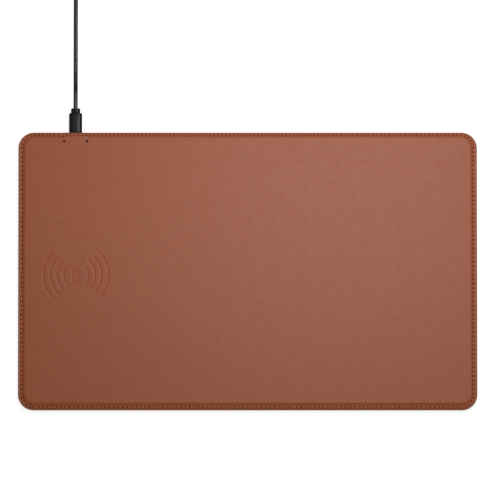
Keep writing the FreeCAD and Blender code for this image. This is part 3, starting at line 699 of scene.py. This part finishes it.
def base_material():
    """Anti-slip sheet: matt, dark, with a close diamond emboss."""
    material, tree, shader, place = nodes_of("anti_slip_sheet")
    turn = add(tree, "ShaderNodeMapping", {"Vector": place, "Rotation": (0.0, 0.0, math.pi / 4)})
    cell = add(tree, "ShaderNodeTexVoronoi", {"Vector": turn.outputs[0], "Scale": 620.0, "Randomness": 0.0},
               feature="F1", distance="CHEBYCHEV")
    pyramid = cell.outputs["Distance"]
    share = spread(tree, noise(tree, place, 30.0, 4.0), 0.0, 0.7)
    colour = mix_colours(tree, share, (0.024, 0.015, 0.011), (0.036, 0.024, 0.018))
    # Painted shade: the diamond emboss's grooves, sunk by the bump below, are darkened in colour.
    share = add(tree, "ShaderNodeMath", {0: pyramid, 1: 0.55}, operation="MULTIPLY").outputs[0]
    colour = mix_colours(tree, share, colour, (0.012, 0.008, 0.006))
    tree.links.new(colour, shader.inputs["Base Color"])
    shader.inputs["Roughness"].default_value = 0.78
    height = add(tree, "ShaderNodeMath", {0: pyramid, 1: -1.0}, operation="MULTIPLY").outputs[0]
    first = bump(tree, shader, height, 0.6, 0.0003)
    bump(tree, shader, noise(tree, place, 2400.0, 2.0), 0.2, 0.00005, under=first)
    return material


def grainy(name, first_colour, second_colour, scale, rough, depth=0.00008):
    """Two-tone material with grain at one scale, for board, foam, ceramic and ferrite."""
    material, tree, shader, place = nodes_of(name)
    grain = noise(tree, place, scale, 4.0, 0.65)
    share = spread(tree, grain, 0.0, 1.0)
    tree.links.new(mix_colours(tree, share, first_colour, second_colour), shader.inputs["Base Color"])
    shader.inputs["Roughness"].default_value = rough
    bump(tree, shader, grain, 0.5, depth)
    return material


def clear_plastic():
    """Near-black plastic of the light windows and lamps: painted shade, its dark colour stands in for the
    shadow inside the deep light holes.
    """
    material, tree, shader, place = nodes_of("light_window_painted_shade")
    share = spread(tree, noise(tree, place, 900.0, 2.0), 0.0, 1.0)
    # Painted shade: near-black colour in place of the deep holes' shadow.
    colour = mix_colours(tree, share, (0.004, 0.0045, 0.006), (0.009, 0.010, 0.013))
    tree.links.new(colour, shader.inputs["Base Color"])
    set_inputs(shader, {"Roughness": 0.08, "Specular IOR Level": 0.3})
    bump(tree, shader, noise(tree, place, 1500.0, 2.0), 0.1, 0.00002)
    return material


def make_materials():
    return {
        "cover_leather": leather(),
        "thread": thread_material(),
        "base_rubber": base_material(),
        "board": grainy("fibreboard", (0.26, 0.17, 0.09), (0.17, 0.10, 0.05), 420.0, 0.85),
        "foam": grainy("foam_sheet", (0.64, 0.60, 0.53), (0.48, 0.45, 0.40), 1500.0, 0.9),
        "black_plastic": moulded("black_plastic", (0.012, 0.012, 0.013)),
        "circuit_board": moulded("solder_mask", (0.006, 0.075, 0.03), (0.25, 0.4)),
        "chip_epoxy": moulded("chip_epoxy", (0.011, 0.011, 0.012), (0.5, 0.65)),
        "ceramic": grainy("fired_ceramic", (0.36, 0.22, 0.12), (0.28, 0.16, 0.08), 2500.0, 0.55),
        "ferrite": grainy("ferrite", (0.022, 0.022, 0.024), (0.035, 0.035, 0.037), 1200.0, 0.6),
        "light_clear": clear_plastic(),
        "plated_steel": metal("nickel_plate", (0.62, 0.61, 0.59)),
        "gold_plate": metal("gold_flash", (0.78, 0.52, 0.16)),
        "tape": moulded("amber_film", (0.42, 0.18, 0.02), (0.2, 0.3)),
        "copper_wire": metal("enamelled_copper", (0.62, 0.26, 0.12), (0.3, 0.42)),
        "wire_jacket": moulded("wire_jacket", (0.42, 0.02, 0.015)),
        "moulded_grip": moulded("moulded_grip", (0.009, 0.009, 0.0095), (0.22, 0.29), specular=0.1),
        "cable_jacket": moulded("cable_jacket", (0.007, 0.007, 0.0075), (0.15, 0.2), 1400.0, specular=0.22),
        "tie_strap": grainy("tie_strap", (0.012, 0.012, 0.013), (0.03, 0.03, 0.032), 2200.0, 0.7),
    }


def dress_frame(materials):
    """Gives every CAD node the material of its slot."""
    for entry in frame["record"]["subparts"]:
        node = frame["nodes"][entry["node"]]
        node.data.materials.clear()
        node.data.materials.append(materials[entry["material_slot"]])


# -------- stitching
def seam_points():
    """Each hole of the seam: (x, y, height of the cover beside it)."""
    columns = hem_columns()
    starts = columns[columns[:, 6] == 0]
    x, y = starts[:, :2].T
    share = starts[:, 4]
    return inset_row(starts, seam_inset(x, y, share), hem_level(x, y, share))


def thread_run(first, second, rise, sink, twist_start):
    """Two plies twisted round each other from one hole to the next."""
    vertices = []
    faces = []
    along = second - first
    length = float(np.linalg.norm(along))
    along = along / length
    across = np.array([-along[1], along[0], 0.0])
    up = np.array([0.0, 0.0, 1.0])
    stations = 15
    sides = 7
    for ply in range(2):
        start = len(vertices)
        for station in range(stations):
            share = station / (stations - 1)
            reach = abs(2 * share - 1)
            height = rise - (rise + sink) * reach ** 6
            angle = twist_start + ply * math.pi + share * PLY_TWIST * 2 * math.pi
            offset = PLY_OFFSET * (math.cos(angle) * across + math.sin(angle) * up)
            middle = first + along * length * (0.5 + (share - 0.5) * RUN_SHARE)
            middle = middle + across * RUN_SKEW * (2 * share - 1) + up * height + offset
            for side in range(sides):
                turn = side * 2 * math.pi / sides
                outward = math.cos(turn) * across + math.sin(turn) * up
                vertices.append(middle + outward * PLY_RADIUS)
        faces += tube_faces(stations, sides, start)
    return vertices, faces


def make_stitching(name, material, top):
    """One seam's visible thread, on the hem or on the underside."""
    draw = random.Random(11 if top else 12)
    holes = seam_points()
    vertices = []
    faces = []
    for index in range(len(holes)):
        first = holes[index].copy()
        second = holes[(index + 1) % len(holes)].copy()
        if not top:
            first[2] = second[2] = PLY_RADIUS + PLY_OFFSET + 0.02
        rise = THREAD_RISE + draw.uniform(-0.03, 0.03) if top else 0.0
        sink = THREAD_SINK if top else -0.5
        points, quads = thread_run(first, second, rise, sink, draw.uniform(0, 6.28))
        start = len(vertices)
        vertices += points
        faces += [tuple(start + corner for corner in quad) for quad in quads]
    made = new_object(name, vertices, faces, material)
    tidy_mesh(made, 1e-7)
    return made


# -------- the lead
def curve_object(name, points, radius, material):
    """Round cord on one NURBS spline through control points in millimetres."""
    curve = bpy.data.curves.new(name, "CURVE")
    curve.dimensions = "3D"
    curve.bevel_depth = radius * MM
    curve.bevel_resolution = 5
    curve.use_fill_caps = True
    spline = curve.splines.new("NURBS")
    spline.points.add(len(points) - 1)
    for control, point in zip(spline.points, points):
        control.co = (*(coordinate * MM for coordinate in point), 1.0)
    spline.order_u = 3
    spline.use_endpoint_u = True
    spline.resolution_u = 6
    curve.materials.append(material)
    made = bpy.data.objects.new(name, curve)
    bpy.context.scene.collection.objects.link(made)
    return made


def coil_points():
    """Turns of the put-away length: one flat layer wound inwards, one wound outwards on top."""
    points = []
    steps = round(LAST_TURN * TURN_POINTS)
    inside_corner = 1 / math.cos(math.pi / TURN_POINTS)
    low_z = COIL_LIFT + CABLE_RADIUS
    high_z = low_z + CABLE_DIAMETER
    for step in range(1, steps):
        turn = step / TURN_POINTS
        angle = math.pi - turn * 2 * math.pi
        if turn < TURNS_PER_LAYER:
            radius = ENTRY_RADIUS - CABLE_DIAMETER * turn
        else:
            radius = INNER_RADIUS + CABLE_DIAMETER * (turn - TURNS_PER_LAYER)
        climb = float(smooth((turn - TURNS_PER_LAYER + 0.16) / 0.32))
        start = float(smooth(turn / 0.4))
        z = CABLE_REST + (low_z - CABLE_REST) * start + (high_z - low_z) * climb
        radius *= inside_corner
        points.append((COIL_X + math.cos(angle) * radius, COIL_Y + math.sin(angle) * radius, z))
    return points


def cable_points():
    """Level out of the collar, down to the desk, straight back, round the coil, to the far plug."""
    tail_z = COIL_LIFT + 1.5 * CABLE_DIAMETER
    route = [
        (PORT_X, COLLAR_BACK_Y, PORT_Z),
        (PORT_X, 136.0, PORT_Z),
        (PORT_X, 152.0, CABLE_REST),
        (PORT_X, 229.8, CABLE_REST),
    ]
    tail = [
        (COIL_X + 5.0, FAR_Y, tail_z),
        (COIL_X + 12.0, FAR_Y, tail_z),
        (COIL_X + 19.0, FAR_Y, FAR_Z),
        (FAR_X, FAR_Y, FAR_Z),
    ]
    return route + coil_points() + tail


def place_piece(piece, body, nodes):
    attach(piece, body)
    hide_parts(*nodes)


def make_lead(materials):
    cable = curve_object("usb_cable", cable_points(), CABLE_RADIUS, materials["cable_jacket"])
    place_piece(cable, "lead", ("lead_cable", "lead_coil", "lead_tail"))
    plated = materials["plated_steel"]
    near_low, near_high = node_box("plug_sleeve")
    end_low, end_high = node_box("usb_a_sleeve")
    end_y = (end_low.y + end_high.y) / 2
    windows = []
    spacing, half, first, last = FAR_WINDOWS
    for offset in (-spacing, spacing):
        windows.append(((end_high.x - first, end_y + offset - half, end_low.z - 1.0),
                        (end_high.x - last, end_y + offset + half, end_high.z + 1.0)))
    latches = []
    spacing, half, first, last = NEAR_LATCHES
    for offset in (-spacing, spacing):
        latches.append(((PORT_X + offset - half, near_low.y + first, near_low.z - 0.5),
                        (PORT_X + offset + half, near_low.y + last, near_low.z + LATCH_SINK)))
    made = (
        (make_plug_body(materials["moulded_grip"]), ("plug_grip", "plug_collar"), "moulded_grip"),
        (make_far_grip(materials["moulded_grip"]), ("usb_a_grip",), "moulded_grip"),
        (make_far_relief(materials["moulded_grip"]), ("usb_a_strain_relief",), "moulded_grip"),
        (make_tie(materials["tie_strap"]), ("cable_tie",), "tie_strap"),
        (make_sleeve("far_sleeve", end_low, end_high, 0.5, 0.3, plated, True, windows),
         ("usb_a_sleeve",), "plated_steel"),
        (make_sleeve("near_sleeve", near_low, near_high, 0.7, 0.25, plated, False, latches),
         ("plug_sleeve",), "plated_steel"),
    )
    for piece, nodes, slot in made:
        place_piece(piece, "lead", nodes)
    return cable


def stadium(half_width, half_height, flat, sides):
    """Closed section with flat faces and round corners. flat 0 is fully round, 1 is square."""
    radius = min(half_width, half_height) * (1 - flat)
    section = []
    for side in range(sides):
        turn = 2 * math.pi * (side + 0.5) / sides
        cosine = math.cos(turn)
        sine = math.sin(turn)
        section.append((math.copysign(half_width - radius, cosine) + radius * cosine,
                        math.copysign(half_height - radius, sine) + radius * sine))
    return section


def section_points(stations, centre, along_x, sides):
    """Points of every section. Each station is (distance, half width, half height, flat)."""
    points = []
    for distance, half_width, half_height, flat in stations:
        for across, up in stadium(half_width, half_height, flat, sides):
            if along_x:
                points.append((distance, centre[1] - across, centre[2] + up))
            else:
                points.append((centre[0] + across, distance, centre[2] + up))
    return points


def loft(name, stations, centre, along_x, material, sides=96):
    """Closed body through the stations' sections."""
    points = section_points(stations, centre, along_x, sides)
    return finished(name, points, tube_faces(len(stations), sides), material, 38)


def rim(distance, inward, half_width, half_height, flat, radius, steps=5):
    """Stations of a rounded rim, from the end inwards. inward is +1 when the body lies beyond."""
    stations = []
    for step in range(steps + 1):
        angle = step / steps * math.pi / 2
        back = radius * (1 - math.sin(angle))
        drop = radius * (1 - math.cos(angle))
        stations.append((distance + inward * back, half_width - drop, half_height - drop, flat))
    stations.reverse()
    return stations


def make_plug_body(material):
    """Grip and collar of the near plug: flat top, round sides, and a square step to the collar."""
    half_grip = ((grip_high.x - grip_low.x) / 2 + GRIP_SKIN, (grip_high.z - grip_low.z) / 2)
    half_collar = ((collar_high.x - collar_low.x) / 2 + GRIP_SKIN, (collar_high.z - collar_low.z) / 2)
    step_y = collar_low.y
    front = bezel_high.y + FRONT_GAP
    neck = (half_grip[0] - FRONT_GROOVE, half_grip[1] - FRONT_GROOVE)
    stations = [(front, *neck, GRIP_FLAT), (front + 0.5, *neck, GRIP_FLAT)]
    stations += rim(front + 0.5, 1, *half_grip, GRIP_FLAT, 0.12)
    stations.append((step_y - 4.0, *half_grip, GRIP_FLAT))
    stations += rim(step_y, -1, *half_grip, GRIP_FLAT, 0.14)[::-1]
    stations.append((step_y, half_collar[0] + 0.15, half_collar[1] + 0.1, COLLAR_FLAT))
    stations.append((step_y + 0.15, *half_collar, COLLAR_FLAT))
    stations.append((step_y + 2.0, *half_collar, COLLAR_FLAT))
    stations += rim(collar_high.y, -1, *half_collar, COLLAR_FLAT, 0.35)[::-1]
    return loft("plug_body", stations, (PORT_X, 0.0, PORT_Z), False, material)


def make_far_grip(material):
    """USB-A grip: straight by the sleeve, waisted for the fingers, with ridges on both faces."""
    half_width = (far_high.y - far_low.y) / 2
    half_height = (far_high.z - far_low.z) / 2
    start = far_low.x
    length = far_high.x - start
    waist_depth, waist_at, waist_spread = WAIST
    neck_depth, neck_end = NECK
    ridge_depth, ridge_start, ridge_end, ridge_count = RIDGES
    stations = rim(start, 1, half_width - neck_depth, half_height - neck_depth / 2,
                   FAR_GRIP_FLAT, 0.8)
    for step in range(1, 60):
        share = step / 60
        waist = waist_depth * math.exp(-((share - waist_at) / waist_spread) ** 2)
        neck = neck_depth * (1 - float(smooth(share / neck_end)))
        ridge = 0.0
        if ridge_start < share < ridge_end:
            turn = (share - ridge_start) / (ridge_end - ridge_start) * ridge_count * 2 * math.pi
            ridge = ridge_depth * (1 + math.cos(turn)) / 2
        stations.append((start + share * length, half_width - waist - neck,
                         half_height - neck / 2 - ridge, FAR_GRIP_FLAT))
    stations += rim(far_high.x, -1, half_width, half_height, FAR_GRIP_FLAT, 0.5)[::-1]
    ordered = [stations[0]]
    for station in stations[1:]:
        if station[0] > ordered[-1][0]:
            ordered.append(station)
    centre = (0.0, (far_low.y + far_high.y) / 2, (far_low.z + far_high.z) / 2)
    return loft("far_plug_grip", ordered, centre, True, material)


def make_far_relief(material):
    """Strain relief behind the USB-A grip: a cone cut by round grooves."""
    length = relief_high.x - relief_low.x
    end_radius = (relief_high.z - relief_low.z) / 2
    steps = 72
    depth, groove_start, groove_end, grooves = RELIEF_GROOVES
    start_radius = CABLE_RADIUS + RELIEF_LIP
    stations = []
    for step in range(steps + 1):
        share = step / steps
        radius = start_radius + (end_radius - start_radius) * share
        groove = 0.0
        if groove_start < share < groove_end:
            turn = (share - groove_start) / (groove_end - groove_start) * grooves * 2 * math.pi
            groove = depth * max(0.0, math.sin(turn)) ** 0.7
        stations.append((relief_low.x + share * length, radius - groove, radius - groove, 0.0))
    centre = (0.0, (relief_low.y + relief_high.y) / 2, (relief_low.z + relief_high.z) / 2)
    return loft("far_plug_relief", stations, centre, True, material, 48)


def make_tie(material):
    """Hook-and-loop strap once round the coil's turns, its free end lapped over and lying flat."""
    width = tie_high.x - tie_low.x
    front = tie_low.y
    back = tie_high.y
    top = tie_high.z - STRAP_LAP
    corner = STRAP_CORNER
    path = [(front + corner, 0.02)]
    for centre, first in (((front + corner, corner), 270), ((front + corner, top - corner), 180),
                          ((back - corner, top - corner), 90), ((back - corner, corner), 0)):
        for step in range(7):
            angle = math.radians(first - step * 15)
            path.append((centre[0] + math.cos(angle) * corner, centre[1] + math.sin(angle) * corner))
    vertices = []
    across_steps = 20
    for side in (0, 1):
        for y, z in path:
            dy = y - (front + back) / 2
            dz = z - top / 2
            reach = math.hypot(dy, dz)
            inset = STRAP_THICK * side
            for step in range(across_steps + 1):
                weave = STRAP_WEAVE * (step % 2) * (1 - side)
                vertices.append((tie_low.x + width * step / across_steps,
                                 y - dy / reach * (inset + weave), z - dz / reach * (inset + weave)))
    columns = across_steps + 1
    rows = len(path)
    inner = rows * columns
    faces = []
    for row in range(rows):
        after = (row + 1) % rows
        for column in range(across_steps):
            a = row * columns + column
            b = after * columns + column
            faces.append((a, a + 1, b + 1, b))
            faces.append((inner + a, inner + b, inner + b + 1, inner + a + 1))
        for column in (0, across_steps):
            a = row * columns + column
            b = after * columns + column
            faces.append((a, b, inner + b, inner + a))
    lap_low = (front + back) / 2 - 3.0
    lap_high = back - 1.2
    start = len(vertices)
    for z in (top - 0.02, top + STRAP_LAP):
        for y in (lap_low, lap_high):
            for x in (tie_low.x + 0.15, tie_high.x - 0.15):
                vertices.append((x, y, z))
    faces += [(start, start + 2, start + 3, start + 1), (start + 4, start + 5, start + 7, start + 6),
              (start, start + 1, start + 5, start + 4), (start + 2, start + 6, start + 7, start + 3),
              (start, start + 4, start + 6, start + 2), (start + 1, start + 3, start + 7, start + 5)]
    return finished("coil_strap", vertices, faces, material, 38)


def make_sleeve(name, low, high, corner, wall, material, along_x, windows):
    """Plated plug sleeve: folded sheet with round corners, a hollow mouth and latch windows."""
    centre = (low + high) / 2
    if along_x:
        half = ((high.y - low.y) / 2, (high.z - low.z) / 2)
        ends = (low.x, high.x)
    else:
        half = ((high.x - low.x) / 2, (high.z - low.z) / 2)
        ends = (high.y, low.y)
    reach = 1 if ends[1] > ends[0] else -1
    flat = 1 - corner / min(half)
    stations = [(ends[0], *half, flat), (ends[1] - reach * 0.12, *half, flat),
                (ends[1], half[0] - 0.1, half[1] - 0.1, flat),
                (ends[1], half[0] - wall, half[1] - wall, flat),
                (ends[0], half[0] - wall, half[1] - wall, flat)]
    sides = 96
    points = section_points(stations, centre, along_x, sides)
    faces = [tuple(number % len(points) for number in face)
             for face in ring_faces(len(stations) + 1, sides)]
    made = new_object(name, points, faces, material)
    tidy_mesh(made, 1e-7)
    cut_windows(made, windows)
    made.data.set_sharp_from_angle(angle=math.radians(30))
    return made


def cut_windows(made, windows):
    """Cuts boxes, given as (low corner, high corner), out of a mesh."""
    work = bmesh.new()
    for low, high in windows:
        box = bmesh.ops.create_cube(work, size=1.0)
        bmesh.ops.scale(work, verts=box["verts"], vec=(Vector(high) - Vector(low)) * MM)
        bmesh.ops.translate(work, verts=box["verts"], vec=(Vector(high) + Vector(low)) / 2 * MM)
    apply_cut(made, work)


def make_windows(material):
    """The two light windows: dark lenses below the holes' rims, each with a foot on the board."""
    vertices = []
    faces = []
    sides = 40
    radius = (light_high.x - LIGHT_X[1]) * LENS_SHARE
    rings = [(LENS_FOOT_RADIUS, light_low.z), (radius, light_low.z)]
    rings += [(radius * share, light_high.z - sink) for share, sink in LENS_RINGS]
    for x in LIGHT_X:
        start = len(vertices)
        for ring_radius, z in rings:
            for side in range(sides):
                angle = 2 * math.pi * side / sides
                vertices.append((x + ring_radius * math.cos(angle),
                                 LIGHT_Y + ring_radius * math.sin(angle), z))
        faces += tube_faces(len(rings), sides, start)
    return finished("light_windows", vertices, faces, material, 40)


def make_base(material):
    """Anti-slip sheet under the pad, its edge turned up round, with a stitch channel below."""
    columns = hem_columns()
    x, y = columns[:, :2].T
    shrink = HALF_X - base_high.x
    seam = seam_inset(x, y, columns[:, 4])
    top = base_high.z
    rows = [(BASE_INNER, top), (shrink + 0.25, top), (shrink + 0.07, top - 0.07), (shrink, top - 0.25),
            (shrink, 0.3), (shrink + 0.1, 0.1), (shrink + 0.3, 0.0)]
    rows += [(seam + offset, z) for offset, z in BASE_CHANNEL]
    rows.append((BASE_INNER, 0.0))
    count = len(x)
    vertices = [inset_row(columns, inset, z) for inset, z in rows]
    faces = ring_faces(len(vertices), count)
    points = np.vstack(vertices + [[[0, 0, top]], [[0, 0, 0.0]]])
    total = len(points)
    last = (total - 2) - count
    for column in range(count):
        after = (column + 1) % count
        faces.append((after, column, total - 2))
        faces.append((last + column, last + after, total - 1))
    return finished("anti_slip_base", points, faces, material, 50, 0.00002)


# -------- studio
def make_studio():
    """Glowing light table, one soft box above the back right, and a dim sky."""
    reach = 9000
    corners = [(-reach, -reach, 0), (reach, -reach, 0), (reach, reach, 0), (-reach, reach, 0)]
    floor = new_object("studio_floor", corners, [(0, 1, 2, 3)], shade_smooth=False)
    floor.location.z = -0.0001
    material, tree, shader, place = nodes_of("light_table")
    share = spread(tree, noise(tree, place, 3.0, 2.0), 0.0, 1.0)
    colour = mix_colours(tree, share, (0.27, 0.27, 0.27), (0.25, 0.25, 0.25))
    tree.links.new(colour, shader.inputs["Base Color"])
    set_inputs(shader, {"Roughness": 0.9, "Specular IOR Level": 0.0,
                        "Emission Color": (1.0, 1.0, 1.0, 1.0), "Emission Strength": FLOOR_GLOW})
    floor.data.materials.append(material)
    world = bpy.data.worlds.new("studio")
    bpy.context.scene.world = world
    world.use_nodes = True
    set_inputs(world.node_tree.nodes["Background"],
               {"Color": (1.0, 1.0, 1.0, 1.0), "Strength": SKY_STRENGTH})
    soft_light("key", KEY_PLACE, (0.0, 0.0, 0.0), KEY_SIZE, KEY_SIZE, KEY_POWER)


def soft_light(name, place, target, width, height, power):
    lamp = bpy.data.lights.new(name, "AREA")
    lamp.shape = "RECTANGLE"
    lamp.size = width
    lamp.size_y = height
    lamp.energy = power
    made = bpy.data.objects.new(name, lamp)
    made.location = place
    made.rotation_euler = (Vector(target) - Vector(place)).to_track_quat("-Z", "Y").to_euler()
    bpy.context.scene.collection.objects.link(made)


def make_camera():
    """Long lens nearly straight above, tipped a little to the front."""
    elevation = math.radians(81.0)
    target = Vector((0.0018, 0.0170, 0.0))
    frame_width = 0.3816
    camera = bpy.data.cameras.new("camera")
    camera.lens = 1200.0
    camera.sensor_width = 36.0
    distance = frame_width * camera.lens / camera.sensor_width
    camera.clip_start = 1.0
    camera.clip_end = 100.0
    made = bpy.data.objects.new("camera", camera)
    made.location = target + Vector((0.0, -math.cos(elevation), math.sin(elevation))) * distance
    made.rotation_euler = (target - made.location).to_track_quat("-Z", "Y").to_euler()
    bpy.context.scene.collection.objects.link(made)
    bpy.context.scene.camera = made
    bpy.context.scene.view_settings.view_transform = "Standard"


# -------- the whole object
materials = make_materials()
dress_frame(materials)
make_camera()
make_studio()
make_lead(materials)

cover = make_cover(materials["cover_leather"])
base = make_base(materials["base_rubber"])
hem_seam = make_stitching("hem_thread", materials["thread"], True)
under_seam = make_stitching("under_thread", materials["thread"], False)
windows = make_windows(materials["light_clear"])
for piece, node, slot in ((cover, "top_cover", "cover_leather"), (base, "base_sheet", "base_rubber"),
                          (hem_seam, "top_stitching", "thread"),
                          (under_seam, "bottom_stitching", "thread"),
                          (windows, "light_pipes", "light_clear")):
    place_piece(piece, "pad", (node,))
